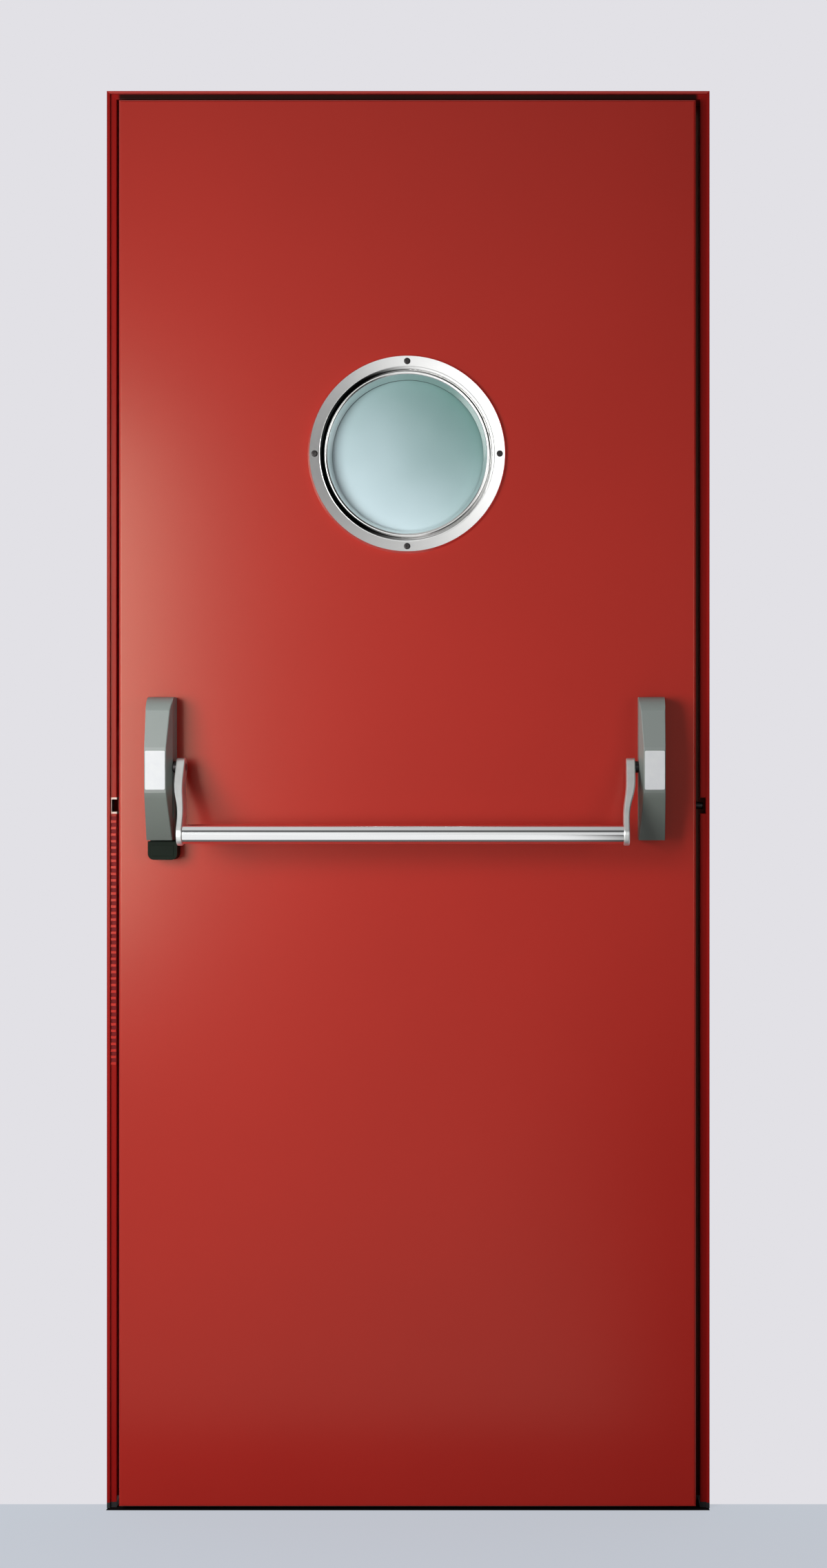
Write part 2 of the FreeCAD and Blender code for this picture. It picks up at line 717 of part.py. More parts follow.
def base_foot():
    """Lower part of the lock side's base: wider than the cover, with a deep moulded end below it."""
    inner = LEAF_MIDDLE - COVER_INNER + BASE_SHOW
    outer = LEAF_MIDDLE - COVER_INNER - COVER_WIDTH
    low = COVER_BOTTOM - BASE_DROP
    tongue = block((outer, inner), (PUSH_Y, PUSH_Y - BASE_THICK), (low, COVER_BOTTOM + BASE_RISE))
    end = block((outer, inner), (PUSH_Y, PUSH_Y - BASE_FOOT_DEPTH), (low, COVER_BOTTOM - BASE_FOOT_GAP))
    foot = tongue.fuse(end).removeSplitter()
    return rounded(
        foot, BASE_ROUND, lambda e: runs_along(e, Y_AXIS) and abs(middle(e).z - low) < 1e-3
    )


def lock_side_base():
    return mirrored_in_leaf(hinge_side_base()).fuse(base_foot()).removeSplitter()


def axle():
    """Axle on the hinge side, from the bearing block into the arm's hub, with a collar between."""
    end = LEAF_MIDDLE + ARM_OUTER - ARM_WIDTH
    far = LEAF_MIDDLE + COVER_INNER + COVER_WIDTH - COVER_WALL - BASE_FIT - MOVE_CLEAR
    shaft = rod(AXLE_RADIUS, (end, PIVOT_Y, PIVOT_HEIGHT), far - end, X_AXIS)
    collar = rod(
        AXLE_COLLAR,
        (LEAF_MIDDLE + ARM_OUTER, PIVOT_Y, PIVOT_HEIGHT),
        ARM_CLEAR - AXLE_COLLAR_CLEAR,
        X_AXIS,
    )
    return shaft.fuse(collar)


def lever_outline():
    """Side outline of an arm: its hub and its cup end, joined by their two tangents."""
    run = math.hypot(BAR_THROW, BAR_DROP)
    lean = math.atan2(BAR_DROP, BAR_THROW)
    spread = math.acos((HUB_RADIUS - BOSS_RADIUS) / run)

    def on_rim(y, z, radius, turn):
        angle = lean + turn
        return at(0, y - radius * math.cos(angle), z - radius * math.sin(angle))

    hub = [on_rim(PIVOT_Y, PIVOT_HEIGHT, HUB_RADIUS, turn) for turn in (spread, math.pi, -spread)]
    cup = [on_rim(BAR_Y, BAR_Z, BOSS_RADIUS, turn) for turn in (-spread, 0, spread)]
    edges = [
        Part.Arc(*hub).toShape(),
        Part.makeLine(hub[2], cup[0]),
        Part.Arc(*cup).toShape(),
        Part.makeLine(cup[2], hub[0]),
    ]
    return Part.Face(Part.Wire(edges))


def arm_band():
    """Front view of an arm: upright at the hub, stepping inward to the bar along an easy curve."""
    outer = LEAF_MIDDLE + ARM_OUTER
    top = PIVOT_HEIGHT + 2 * HUB_RADIUS
    bottom = BAR_Z - 2 * BOSS_RADIUS
    start = PIVOT_HEIGHT - HUB_RADIUS
    end = BAR_Z + BOSS_RADIUS
    bend = (start + end) / 2

    def edge_curve(x, foot):
        curve = Part.BezierCurve()
        curve.setPoles([at(x, 0, start), at(x, 0, bend), at(foot, 0, bend), at(foot, 0, end)])
        return curve.toShape()

    right, left = outer, outer - ARM_WIDTH
    foot_right, foot_left = outer - ARM_OFFSET, LEAF_MIDDLE + ARM_FOOT_INNER
    edges = [
        Part.makeLine(at(left, 0, top), at(right, 0, top)),
        Part.makeLine(at(right, 0, top), at(right, 0, start)),
        edge_curve(right, foot_right),
        Part.makeLine(at(foot_right, 0, end), at(foot_right, 0, bottom)),
        Part.makeLine(at(foot_right, 0, bottom), at(foot_left, 0, bottom)),
        Part.makeLine(at(foot_left, 0, bottom), at(foot_left, 0, end)),
        edge_curve(left, foot_left),
        Part.makeLine(at(left, 0, start), at(left, 0, top)),
    ]
    face = Part.Face(Part.Wire(Part.sortEdges(edges)[0]))
    front = BAR_Y - 2 * BOSS_RADIUS
    face.translate(at(0, front, 0))
    return face.extrude(at(0, PUSH_Y - front, 0))


def round_arm(edge):
    """True for the edges between an arm's sides and its outline."""
    return not runs_along(edge, X_AXIS) and not runs_along(edge, Y_AXIS)


def arm():
    """Cast arm on the hinge side: hub on the axle, cranked lever, and a cup that takes the bar's end."""
    outer = LEAF_MIDDLE + ARM_OUTER
    foot = LEAF_MIDDLE + ARM_FOOT_INNER
    side = lever_outline()
    side.translate(at(foot, 0, 0))
    lever = side.extrude(at(outer - foot, 0, 0)).common(arm_band())
    lever = rounded(lever, ARM_ROUND, round_arm)
    socket = rod(BAR_RADIUS, (foot, BAR_Y, BAR_Z), BAR_SOCKET, X_AXIS)
    bore = rod(AXLE_RADIUS, (outer - ARM_WIDTH, PIVOT_Y, PIVOT_HEIGHT), ARM_WIDTH, X_AXIS)
    return lever.cut(socket).cut(bore)


def push_bar():
    """Polished tube between the two cups."""
    reach = ARM_FOOT_INNER + BAR_SOCKET
    start = (LEAF_MIDDLE - reach, BAR_Y, BAR_Z)
    outer = rod(BAR_RADIUS, start, 2 * reach, X_AXIS)
    return outer.cut(rod(BAR_RADIUS - BAR_WALL, start, 2 * reach, X_AXIS))


def all_pieces():
    """Every node of the door by name."""
    pieces = {
        "hinge_jamb": hinge_jamb(),
        "lock_jamb": lock_jamb(),
        "head_member": head_member(),
        "hinge_jamb_foot": hinge_jamb_foot(),
        "lock_jamb_foot": opposite_jamb(hinge_jamb_foot()),
        "hinge_jamb_seal": hinge_jamb_seal(),
        "lock_jamb_seal": opposite_jamb(hinge_jamb_seal()),
        "head_seal": head_seal(),
        "strike_liner": strike_liner(),
        "push_skin": push_skin(),
        "pull_skin": pull_skin(),
        "edge_strip": edge_strip(),
        "leaf_core": leaf_core(),
        "glass_pane": glass_pane(),
        "push_side_ring": window_ring(),
        "pull_side_ring": on_pull_side(window_ring()),
        "push_side_glazing_seal": glazing_seal(),
        "pull_side_glazing_seal": on_pull_side(glazing_seal()),
        "lock_forend": lock_forend(),
        "latch_bolt": latch_bolt(),
        "dog_bolt": dog_bolt(),
        "hinge_side_base": hinge_side_base(),
        "lock_side_base": lock_side_base(),
        "hinge_side_cover": hinge_side_cover(),
        "lock_side_cover": lock_side_cover(),
        "hinge_side_plate": cover_plate(),
        "lock_side_plate": mirrored_in_leaf(cover_plate()),
        "hinge_side_axle": axle(),
        "lock_side_axle": mirrored_in_leaf(axle()),
        "hinge_side_arm": arm(),
        "lock_side_arm": mirrored_in_leaf(arm()),
        "push_bar": push_bar(),
    }
    for place, height in HINGES.items():
        pieces[place + "_hinge_frame_wing"] = hinge_frame_wing(height)
        pieces[place + "_hinge_pin"] = hinge_pin(height)
        pieces[place + "_hinge_leaf_wing"] = hinge_leaf_wing(height)
    return pieces


os.makedirs("parts", exist_ok=True)
for name, shape in all_pieces().items():
    shape.exportStep("parts/" + name + ".step")
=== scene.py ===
import math

import bmesh
import bpy
from mathutils import Matrix, Vector


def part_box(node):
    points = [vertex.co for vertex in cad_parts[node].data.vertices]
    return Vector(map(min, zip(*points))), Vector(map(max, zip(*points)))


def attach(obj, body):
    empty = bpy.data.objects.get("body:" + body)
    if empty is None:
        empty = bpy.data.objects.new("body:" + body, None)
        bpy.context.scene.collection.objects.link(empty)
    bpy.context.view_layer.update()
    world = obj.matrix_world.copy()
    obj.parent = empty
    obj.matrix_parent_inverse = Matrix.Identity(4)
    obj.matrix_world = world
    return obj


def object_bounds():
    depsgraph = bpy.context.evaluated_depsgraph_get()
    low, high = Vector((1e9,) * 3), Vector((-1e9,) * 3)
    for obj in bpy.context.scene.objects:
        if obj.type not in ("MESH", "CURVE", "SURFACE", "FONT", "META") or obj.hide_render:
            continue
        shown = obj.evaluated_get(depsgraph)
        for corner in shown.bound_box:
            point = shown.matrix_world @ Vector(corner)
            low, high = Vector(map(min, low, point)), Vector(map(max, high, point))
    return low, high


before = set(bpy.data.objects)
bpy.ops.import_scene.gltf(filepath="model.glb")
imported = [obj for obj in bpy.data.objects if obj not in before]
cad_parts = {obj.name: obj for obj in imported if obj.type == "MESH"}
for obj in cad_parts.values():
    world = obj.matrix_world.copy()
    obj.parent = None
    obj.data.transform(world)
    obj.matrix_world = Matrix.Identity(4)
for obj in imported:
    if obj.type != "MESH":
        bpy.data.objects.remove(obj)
cad_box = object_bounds()


# Frame: two jambs and a head, folded from 2 mm steel and mitred at the corners.
# The red coat is semi-gloss with a faint orange peel. It is a shade deeper than the leaf's, as painted shade
# for the strips that lie back behind the leaf.
# The head's lip is painted paler, as a painted highlight, and the strip under it a very dark red, as painted
# shade.
FRAME_RED = (0.305, 0.0078, 0.0070, 1)
FRAME_RED_DEEP = (0.280, 0.0070, 0.0064, 1)
HEAD_LIP_HIGHLIGHT_RED = (0.460, 0.056, 0.048, 1)
HEAD_STRIP_SHADE_RED = (0.020, 0.001, 0.001, 1)
LIP_WIDTH = 0.0045
LIP_STEP = 0.0040
TONE_FADE = 0.0010
STRIP_END_FADE = 0.0060
FRAME_GLOSS = 0.10
PEEL_SCALE = 620.0
CLOUD_SCALE = 2.6
NOISE_SPAN = (0.3, 0.7)
WARM_SHEEN = (1.0, 1.0, 0.76, 1)


def blank_material(name):
    """New material with its node tree, its shader and object coordinates to hang patterns on."""
    material = bpy.data.materials.new(name)
    material.use_nodes = True
    tree = material.node_tree
    place = tree.nodes.new("ShaderNodeTexCoord").outputs["Object"]
    return material, tree, tree.nodes["Principled BSDF"], place


def add(tree, kind, inputs=None, **settings):
    """New node with its settings, and its sockets set to values or linked to other sockets."""
    node = tree.nodes.new(kind)
    for name, value in settings.items():
        setattr(node, name, value)
    for socket, value in (inputs or {}).items():
        if isinstance(value, bpy.types.NodeSocket):
            tree.links.new(value, node.inputs[socket])
        else:
            node.inputs[socket].default_value = value
    return node


def noise(tree, place, scale, detail=2.0):
    """Noise value over the surface, with the scale in cells to the metre."""
    inputs = {"Vector": place, "Scale": scale, "Detail": detail}
    return add(tree, "ShaderNodeTexNoise", inputs).outputs["Fac"]


def stretched(tree, place, factors):
    """Coordinates scaled by a factor on each axis, to draw a pattern out along one of them."""
    inputs = {0: place, 1: factors}
    return add(tree, "ShaderNodeVectorMath", inputs, operation="MULTIPLY").outputs[0]


def blend_colours(tree, shader, amount, low, high):
    """Base colour that runs between two colours as the amount runs over a noise's usual span."""
    ramp = add(tree, "ShaderNodeValToRGB", {"Fac": amount})
    ramp.color_ramp.elements[0].position = NOISE_SPAN[0]
    ramp.color_ramp.elements[0].color = low
    ramp.color_ramp.elements[1].position = NOISE_SPAN[1]
    ramp.color_ramp.elements[1].color = high
    tree.links.new(ramp.outputs["Color"], shader.inputs["Base Color"])


def ranged(tree, amount, low, high):
    """Value that runs from low to high as a noise runs over its usual span."""
    inputs = {"Value": amount, "To Min": low, "To Max": high}
    inputs |= {"From Min": NOISE_SPAN[0], "From Max": NOISE_SPAN[1]}
    return add(tree, "ShaderNodeMapRange", inputs).outputs["Result"]


def vary_roughness(tree, shader, amount, low, high):
    tree.links.new(ranged(tree, amount, low, high), shader.inputs["Roughness"])


def emboss(tree, shader, height, depth, strength=1.0):
    """Bump from a height value, with its depth in metres."""
    inputs = {"Height": height, "Distance": depth, "Strength": strength}
    bump = add(tree, "ShaderNodeBump", inputs)
    tree.links.new(bump.outputs["Normal"], shader.inputs["Normal"])


def orange_peel(tree, shader, place, gloss):
    """Fine ripple and warm sheen of a sprayed coat."""
    peel = noise(tree, place, PEEL_SCALE, detail=1.0)
    vary_roughness(tree, shader, peel, low=0.22, high=0.27)
    emboss(tree, shader, peel, depth=0.00003)
    shader.inputs["Specular IOR Level"].default_value = gloss
    shader.inputs["Specular Tint"].default_value = WARM_SHEEN


def frame_paint():
    material, tree, shader, place = blank_material("frame_paint")
    blend_colours(tree, shader, noise(tree, place, CLOUD_SCALE, detail=3.0), FRAME_RED_DEEP, FRAME_RED)
    orange_peel(tree, shader, place, FRAME_GLOSS)
    return material


def between(tree, value, low, high, levels=(0.0, 1.0)):
    """First level up to the low value, second from the high one, with a smooth change between."""
    inputs = {"Value": value, "From Min": low, "From Max": high}
    inputs |= {"To Min": levels[0], "To Max": levels[1]}
    return add(tree, "ShaderNodeMapRange", inputs, interpolation_type="SMOOTHSTEP").outputs["Result"]


def product(tree, *values):
    """All the values multiplied together."""
    result = values[0]
    for value in values[1:]:
        result = add(tree, "ShaderNodeMath", {0: result, 1: value}, operation="MULTIPLY").outputs[0]
    return result


def mixed(tree, amount, low, high):
    """Colour that runs from one colour to another as the amount goes from 0 to 1."""
    inputs = {"Factor": amount, 6: low, 7: high}
    return add(tree, "ShaderNodeMix", inputs, data_type="RGBA").outputs[2]


def head_paint_light_and_shade():
    """The frame's coat, with a painted highlight on the head's lip and painted shade on the strip over the
    leaf.
    """
    material, tree, shader, place = blank_material("head_paint_light_and_shade")
    axes = add(tree, "ShaderNodeSeparateXYZ", {0: place}).outputs
    head_low, head_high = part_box("head_member")
    leaf_low, leaf_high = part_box("push_skin")
    strip_face = head_low.y + LIP_STEP
    lip_foot = head_high.z - LIP_WIDTH
    lip = between(tree, axes["Y"], strip_face - TONE_FADE, strip_face - 2 * TONE_FADE)
    strip = product(
        tree,
        between(tree, axes["Y"], strip_face + 2 * TONE_FADE, strip_face + TONE_FADE),
        between(tree, axes["Z"], lip_foot + TONE_FADE, lip_foot),
        between(tree, axes["X"], leaf_low.x - STRIP_END_FADE, leaf_low.x),
        between(tree, axes["X"], leaf_high.x + STRIP_END_FADE, leaf_high.x),
    )
    tone = mixed(tree, lip, mixed(tree, strip, FRAME_RED, HEAD_STRIP_SHADE_RED), HEAD_LIP_HIGHLIGHT_RED)
    tree.links.new(tone, shader.inputs["Base Color"])
    orange_peel(tree, shader, place, FRAME_GLOSS)
    return material


def dress(nodes, material):
    """Gives CAD nodes a finish in place of their plain slot colour."""
    for name in nodes:
        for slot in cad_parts[name].material_slots:
            slot.material = material


dress(["hinge_jamb", "lock_jamb"], frame_paint())
dress(["head_member"], head_paint_light_and_shade())


# Jamb feet: black moulded shoes pushed up into the jamb tubes. They keep the
# steel off a wet floor. The plastic is matt, with a fine spark-eroded grain.
SHOE_BLACK = (0.007, 0.007, 0.008, 1)
SHOE_GREY = (0.014, 0.014, 0.015, 1)


def black_shoe():
    material, tree, shader, place = blank_material("black_shoe")
    grain = noise(tree, place, scale=900.0, detail=2.0)
    blend_colours(tree, shader, noise(tree, place, scale=60.0), SHOE_BLACK, SHOE_GREY)
    vary_roughness(tree, shader, grain, low=0.45, high=0.62)
    emboss(tree, shader, grain, depth=0.00008)
    return material


dress(["hinge_jamb_foot", "lock_jamb_foot"], black_shoe())


# Smoke seals: extruded rubber in the frame's seat and between glass and rings.
# The strip is matt black with the faint lines that the die draws along it.
SEAL_BLACK = (0.012, 0.012, 0.013, 1)
SEAL_GREY = (0.022, 0.022, 0.023, 1)
DIE_LINES = (900.0, 900.0, 40.0)


def seal_rubber():
    material, tree, shader, place = blank_material("seal_rubber")
    lines = noise(tree, stretched(tree, place, DIE_LINES), scale=1.0, detail=1.0)
    blend_colours(tree, shader, lines, SEAL_BLACK, SEAL_GREY)
    vary_roughness(tree, shader, noise(tree, place, scale=300.0), low=0.6, high=0.78)
    emboss(tree, shader, lines, depth=0.00005)
    return material


rubber = seal_rubber()
dress(["hinge_jamb_seal", "lock_jamb_seal", "head_seal"], rubber)
dress(["push_side_glazing_seal", "pull_side_glazing_seal"], rubber)


# Lock set: the forend and latch are zinc plated steel, with a soft mottled sheen and
# fine rolling lines. The strike liner in the jamb is pressed steel, with a rim in cream
# lacquer and an inside painted black as painted shade.
LINER_RIM = 0.0008
ZINC_DULL = (0.52, 0.53, 0.54, 1)
ZINC_BRIGHT = (0.70, 0.71, 0.72, 1)
ROLLING_LINES = (60.0, 1200.0, 60.0)
LINER_CREAM = (0.66, 0.50, 0.42, 1)
LINER_INSIDE_SHADE = (0.012, 0.011, 0.011, 1)


def zinc_steel():
    material, tree, shader, place = blank_material("zinc_steel")
    shader.inputs["Metallic"].default_value = 1.0
    mottle = noise(tree, place, scale=140.0, detail=3.0)
    blend_colours(tree, shader, mottle, ZINC_DULL, ZINC_BRIGHT)
    lines = noise(tree, stretched(tree, place, ROLLING_LINES), scale=1.0, detail=2.0)
    vary_roughness(tree, shader, lines, low=0.26, high=0.42)
    emboss(tree, shader, lines, depth=0.00002)
    return material


def cream_lacquer():
    """Cream on the liner's front rim, and black from a little behind it, as painted shade inside the liner.
    """
    material, tree, shader, place = blank_material("cream_lacquer")
    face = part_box("strike_liner")[0].y
    depth = add(tree, "ShaderNodeSeparateXYZ", {0: place}).outputs["Y"]
    inputs = {"Value": depth, "From Min": face, "From Max": face + 2 * LINER_RIM}
    behind = add(tree, "ShaderNodeMapRange", inputs).outputs["Result"]
    blend_colours(tree, shader, behind, LINER_CREAM, LINER_INSIDE_SHADE)
    vary_roughness(tree, shader, noise(tree, place, scale=600.0), low=0.38, high=0.5)
    return material


zinc = zinc_steel()
dress(["lock_forend", "latch_bolt"], zinc)
dress(["strike_liner"], cream_lacquer())


# Slotted trim: a pressed strip on the lock jamb below the keep, with a row of level rungs
# over a back. The back is painted dark red as painted shade in the slots, and the rungs a
# brighter red as painted highlight. It is stuck down flat on the jamb.
TRIM_BACK = 0.0002
TRIM_PROUD = 0.0010
TRIM_INSET = 0.0006
TRIM_DROP = 0.0040
RUNG_PITCH = 0.0097
RUNG_HEIGHT = 0.0040
RUNG_COUNT = 38
RUNG_BEVEL = 0.0003
SLOT_SHADE_RED = (0.180, 0.005, 0.006, 1)
SLOT_SHADE_RED_DEEP = (0.140, 0.004, 0.005, 1)
RUNG_HIGHLIGHT_RED = (0.50, 0.028, 0.022, 1)
RUNG_HIGHLIGHT_RED_DEEP = (0.44, 0.020, 0.016, 1)
TRIM_GLOSS = 0.15


def bevelled_block(low, high, bevel):
    """Mesh of a block between two corners, with its edges rounded off."""
    shape = bmesh.new()
    bmesh.ops.create_cube(shape, size=1.0)
    middle = (Vector(low) + Vector(high)) / 2
    size = Vector(high) - Vector(low)
    fitted = Matrix.Translation(middle) @ Matrix.Diagonal((*size, 1))
    bmesh.ops.transform(shape, matrix=fitted, verts=shape.verts)
    edges = shape.edges[:]
    bmesh.ops.bevel(
        shape, geom=edges, offset=bevel, segments=2, affect="EDGES", profile=0.5, clamp_overlap=True
    )
    mesh = bpy.data.meshes.new("block")
    shape.to_mesh(mesh)
    shape.free()
    return mesh


def stand(name, mesh, material, body):
    """Puts a finished mesh in the scene as a piece that moves with a body of the door."""
    piece = bpy.data.objects.new(name, mesh)
    bpy.context.scene.collection.objects.link(piece)
    mesh.name = name
    mesh.materials.clear()
    mesh.materials.append(material)
    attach(piece, body)
    return piece


def repeated(name, unit, sizes, layout, material):
    """Plain mesh of a unit shape set on the points of a layout, made by Geometry Nodes."""
    tree = bpy.data.node_groups.new(name + "_layout", "GeometryNodeTree")
    kinds = {int: "NodeSocketInt", float: "NodeSocketFloat", Vector: "NodeSocketVector"}
    tree.interface.new_socket("Unit", in_out="INPUT", socket_type="NodeSocketGeometry")
    for label, value in sizes.items():
        tree.interface.new_socket(label, in_out="INPUT", socket_type=kinds[type(value)])
    tree.interface.new_socket("Geometry", in_out="OUTPUT", socket_type="NodeSocketGeometry")
    given = tree.nodes.new("NodeGroupInput")
    points = layout(tree, given.outputs)
    copies = add(tree, "GeometryNodeInstanceOnPoints", {"Points": points, "Instance": given.outputs["Unit"]})
    real = add(tree, "GeometryNodeRealizeInstances", {"Geometry": copies.outputs["Instances"]})
    inputs = {"Geometry": real.outputs["Geometry"], "Material": material}
    coated = add(tree, "GeometryNodeSetMaterial", inputs)
    result = tree.nodes.new("NodeGroupOutput")
    tree.links.new(coated.outputs["Geometry"], result.inputs["Geometry"])

    carrier = bpy.data.objects.new(name + "_unit", unit)
    bpy.context.scene.collection.objects.link(carrier)
    modifier = carrier.modifiers.new("layout", "NODES")
    modifier.node_group = tree
    for socket in tree.interface.items_tree:
        if socket.in_out == "INPUT" and socket.name in sizes:
            value = sizes[socket.name]
            modifier[socket.identifier] = tuple(value) if isinstance(value, Vector) else value
    evaluated = carrier.evaluated_get(bpy.context.evaluated_depsgraph_get())
    mesh = bpy.data.meshes.new_from_object(evaluated)
    carrier.modifiers.remove(modifier)
    bpy.data.objects.remove(carrier)
    return mesh


def row_layout(tree, given):
    """Points in a straight row from a start, one step apart."""
    inputs = {"Count": given["Count"], "Start Location": given["Start"], "Offset": given["Step"]}
    return add(tree, "GeometryNodeMeshLine", inputs, mode="OFFSET").outputs["Mesh"]


# The back's dark red is painted shade in the slots.
def shaded_red_back():
    material, tree, shader, place = blank_material("shaded_red_back")
    blend_colours(tree, shader, noise(tree, place, scale=40.0), SLOT_SHADE_RED_DEEP, SLOT_SHADE_RED)
    vary_roughness(tree, shader, noise(tree, place, PEEL_SCALE), low=0.5, high=0.6)
    shader.inputs["Specular IOR Level"].default_value = TRIM_GLOSS
    return material


# The rungs' brighter red is a painted highlight.
def highlighted_red_rung():
    material, tree, shader, place = blank_material("highlighted_red_rung")
    blend_colours(tree, shader, noise(tree, place, scale=90.0), RUNG_HIGHLIGHT_RED_DEEP, RUNG_HIGHLIGHT_RED)
    orange_peel(tree, shader, place, TRIM_GLOSS)
    return material


jamb_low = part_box("lock_jamb")[0]
keep_low, keep_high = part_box("strike_liner")
strip_face = keep_low.y
trim_left = jamb_low.x + LIP_WIDTH + TRIM_INSET
trim_right = keep_high.x - TRIM_INSET
trim_top = keep_low.z - TRIM_DROP
trim_bottom = trim_top - RUNG_COUNT * RUNG_PITCH
back = bevelled_block(
    (trim_left, strip_face - TRIM_BACK, trim_bottom), (trim_right, strip_face, trim_top), TRIM_BACK / 3
)
stand("slotted_trim_back", back, shaded_red_back(), "frame")
rung = bevelled_block(
    (trim_left, strip_face - TRIM_PROUD, 0), (trim_right, strip_face - TRIM_BACK, RUNG_HEIGHT), RUNG_BEVEL
)
rung_red = highlighted_red_rung()
rungs = repeated(
    "slotted_trim_rungs",
    rung,
    {"Count": RUNG_COUNT, "Start": Vector((0, 0, trim_bottom)), "Step": Vector((0, 0, RUNG_PITCH))},
    row_layout,
    rung_red,
)
stand("slotted_trim_rungs", rungs, rung_red, "frame")


# Hinges: pressed steel wings with rolled knuckles on a turned pin, zinc plated.
# The leaf's wing is held by four socket screws, let into the plate with low heads.
SCREW_RADIUS = 0.0048
SCREW_RISE = 0.0013
SCREW_SINK = 0.0010
SOCKET_RADIUS = 0.0023
SOCKET_DEPTH = 0.0011
SCREW_SIDES = 36
SCREW_CROWN = ((1.00, 0.25), (0.94, 0.62), (0.78, 0.92), (0.60, 1.00))
SOCKET_TAPER = 0.94
HINGE_SCREW_EDGE = 0.014
HINGE_PLATE_WIDTH = 0.060
HINGE_PLATE_THICK = 0.004


def socket_screw(outward):
    """Mesh of a low socket head at the origin, with its axis along -Y or +Y."""
    shape = bmesh.new()

    def ring(radius, rise, hexagon=False):
        verts = []
        for i in range(SCREW_SIDES):
            angle = 2 * math.pi * i / SCREW_SIDES
            reach = radius
            if hexagon:
                reach = radius * math.cos(math.pi / 6) / math.cos(angle % (math.pi / 3) - math.pi / 6)
            verts.append(shape.verts.new((reach * math.cos(angle), outward * rise, reach * math.sin(angle))))
        return verts

    rings = [ring(SCREW_RADIUS, -SCREW_SINK)]
    rings += [ring(SCREW_RADIUS * width, SCREW_RISE * rise) for width, rise in SCREW_CROWN]
    rings.append(ring(SOCKET_RADIUS, SCREW_RISE, True))
    rings.append(ring(SOCKET_RADIUS * SOCKET_TAPER, SCREW_RISE - SOCKET_DEPTH, True))
    for outer, inner in zip(rings, rings[1:]):
        for i in range(SCREW_SIDES):
            j = (i + 1) % SCREW_SIDES
            shape.faces.new((outer[i], outer[j], inner[j], inner[i]))
    shape.faces.new(rings[-1])
    shape.faces.new(rings[0])
    bmesh.ops.recalc_face_normals(shape, faces=shape.faces)
    mesh = bpy.data.meshes.new("socket_screw")
    shape.to_mesh(mesh)
    shape.free()
    return mesh


def grid_layout(tree, given):
    """Points at the corners of an upright rectangle."""
    inputs = {"Size X": given["Width"], "Size Y": given["Height"], "Vertices X": 2, "Vertices Y": 2}
    flat = add(tree, "GeometryNodeMeshGrid", inputs).outputs["Mesh"]
    inputs = {"Geometry": flat, "Translation": given["Middle"], "Rotation": (math.pi / 2, 0, 0)}
    return add(tree, "GeometryNodeTransform", inputs).outputs["Geometry"]


hinge_nodes = [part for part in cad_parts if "_hinge_" in part]
dress(hinge_nodes, zinc)
for level in ("lower", "upper"):
    wing_low, wing_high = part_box(level + "_hinge_leaf_wing")
    plate_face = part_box("pull_skin")[1].y + HINGE_PLATE_THICK
    middle = Vector((wing_low.x + HINGE_PLATE_WIDTH / 2, plate_face, (wing_low.z + wing_high.z) / 2))
    sizes = {
        "Width": HINGE_PLATE_WIDTH - 2 * HINGE_SCREW_EDGE,
        "Height": wing_high.z - wing_low.z - 2 * HINGE_SCREW_EDGE,
        "Middle": middle,
    }
    heads = repeated(level + "_hinge_screws", socket_screw(1), sizes, grid_layout, zinc)
    stand(level + "_hinge_screws", heads, zinc, "leaf")


# Leaf: two trays of 1.2 mm steel round a mineral board, sprayed semi-gloss red all over,
# with a graphite strip let into the edges that swells in a fire.
LEAF_RED = (0.396, 0.0168, 0.0122, 1)
LEAF_RED_DEEP = (0.376, 0.0154, 0.0111, 1)
LEAF_GLOSS = 0.32
GRAPHITE_DARK = (0.025, 0.025, 0.028, 1)
GRAPHITE_PALE = (0.070, 0.070, 0.075, 1)
BOARD_DARK = (0.40, 0.37, 0.30, 1)
BOARD_PALE = (0.62, 0.59, 0.52, 1)
BOARD_FIBRES = (220.0, 900.0, 220.0)


def leaf_paint():
    material, tree, shader, place = blank_material("leaf_paint")
    blend_colours(tree, shader, noise(tree, place, CLOUD_SCALE, detail=3.0), LEAF_RED_DEEP, LEAF_RED)
    orange_peel(tree, shader, place, LEAF_GLOSS)
    return material


def graphite_strip():
    material, tree, shader, place = blank_material("graphite_strip")
    flecks = noise(tree, place, scale=700.0, detail=4.0)
    blend_colours(tree, shader, flecks, GRAPHITE_DARK, GRAPHITE_PALE)
    vary_roughness(tree, shader, flecks, low=0.5, high=0.7)
    emboss(tree, shader, flecks, depth=0.00006)
    return material


def mineral_board():
    material, tree, shader, place = blank_material("mineral_board")
    fibres = noise(tree, stretched(tree, place, BOARD_FIBRES), scale=1.0, detail=5.0)
    blend_colours(tree, shader, fibres, BOARD_DARK, BOARD_PALE)
    vary_roughness(tree, shader, fibres, low=0.85, high=0.95)
    emboss(tree, shader, fibres, depth=0.0004)
    return material


dress(["push_skin", "pull_skin"], leaf_paint())
dress(["edge_strip"], graphite_strip())
dress(["leaf_core"], mineral_board())


# Window: a 26 mm fire glass with a pale milky interlayer, held by a turned ring on each side.
# Its colour is painted from teal at the upper right to near white at the lower left, as painted light.
GLASS_LIT_WHITE = (0.60, 0.75, 0.79, 1)
GLASS_SHADED_TEAL = (0.100, 0.225, 0.200, 1)
GLASS_SPAN = (0.22, 0.83)
GLASS_SLANT = Vector((0.9, 0, 1.1))
GLASS_IOR = 1.46


